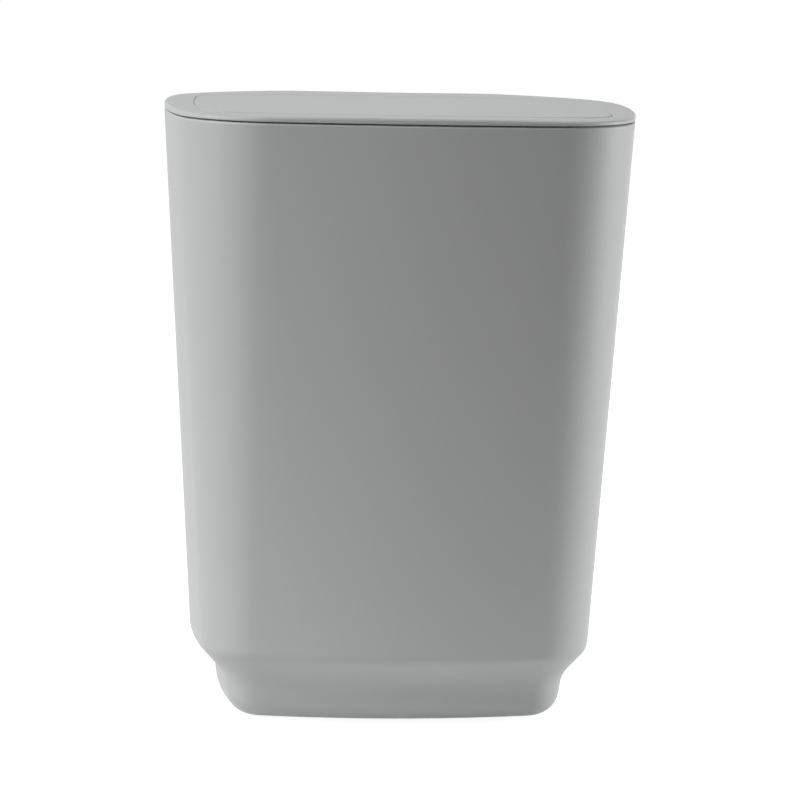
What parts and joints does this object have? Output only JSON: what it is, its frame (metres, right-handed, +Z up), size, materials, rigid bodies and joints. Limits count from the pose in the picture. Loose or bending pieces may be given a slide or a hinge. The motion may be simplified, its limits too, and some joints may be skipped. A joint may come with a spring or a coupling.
{
  "type": "bin",
  "caption": "Tapered countertop kitchen bin in grey plastic with a stepped foot and a flush press-to-open flap that swings back on sprung gooseneck hinges in a lift-off lid.",
  "frame": {"origin": "on the worktop plane, under the middle of the bin's footprint", "axes": "+Z up through the bin, -Y towards the front of the lid, +X to the right when facing the front"},
  "size_m": [0.176, 0.142, 0.2282],
  "materials": {
    "body_plastic": "fine matt moulded texture, cool light grey",
    "inner_plastic": "plain moulded grey, a little darker than the outside",
    "latch_plastic": "smooth black acetal",
    "slider_plastic": "smooth white acetal",
    "black_rubber": "soft matt black rubber",
    "screw_steel": "zinc-plated steel",
    "spring_steel": "bright drawn spring wire",
    "pin_steel": "bright turned steel",
    "magnet_nickel": "nickel-plated magnet"
  },
  "bodies": {
    "bin": {"bin_body": "body_plastic", "foot_pads": "black_rubber"},
    "lid": {"lid_frame": "body_plastic", "hinge_spring_left": "spring_steel", "hinge_spring_right": "spring_steel", "latch_housing": "latch_plastic", "latch_cover": "latch_plastic", "latch_pin": "spring_steel", "latch_spring": "spring_steel", "latch_screws": "screw_steel", "flap_buffers": "black_rubber"},
    "hinge_pins": {"hinge_pin_left": "pin_steel", "hinge_pin_right": "pin_steel", "pin_clips": "spring_steel"},
    "flap": {"push_flap": "body_plastic", "flap_liner": "inner_plastic", "hinge_arm_left": "inner_plastic", "hinge_arm_right": "inner_plastic", "arm_screws": "screw_steel", "liner_screws": "screw_steel", "strike_plate": "screw_steel", "strike_screws": "screw_steel"},
    "latch_slider": {"latch_slider": "slider_plastic", "latch_magnet": "magnet_nickel"}
  },
  "joints": [
    {"name": "lid_lift", "type": "slide", "parent": "bin", "child": "lid", "axis": [0, 0, 1], "range_m": [0, 0.06]},
    {"name": "flap_press", "type": "hinge", "parent": "lid", "child": "hinge_pins", "pos_m": [0, 0.0585, 0.2202], "axis": [-1, 0, 0], "range_deg": [-1.2, 0], "stiffness_Nm_per_rad": 4, "springref_deg": 2.86},
    {"name": "flap_open", "type": "hinge", "parent": "hinge_pins", "child": "flap", "pos_m": [0, 0.0585, 0.2202], "axis": [-1, 0, 0], "range_deg": [0, 80]},
    {"name": "latch_push", "type": "slide", "parent": "lid", "child": "latch_slider", "axis": [0, 0, 1], "range_m": [-0.00227, 0], "deforming": ["latch_spring"]}
  ],
  "couplings": [
    {"joint": "flap_press", "follows": "latch_push", "rad_per_m": 9.2166}
  ]
}
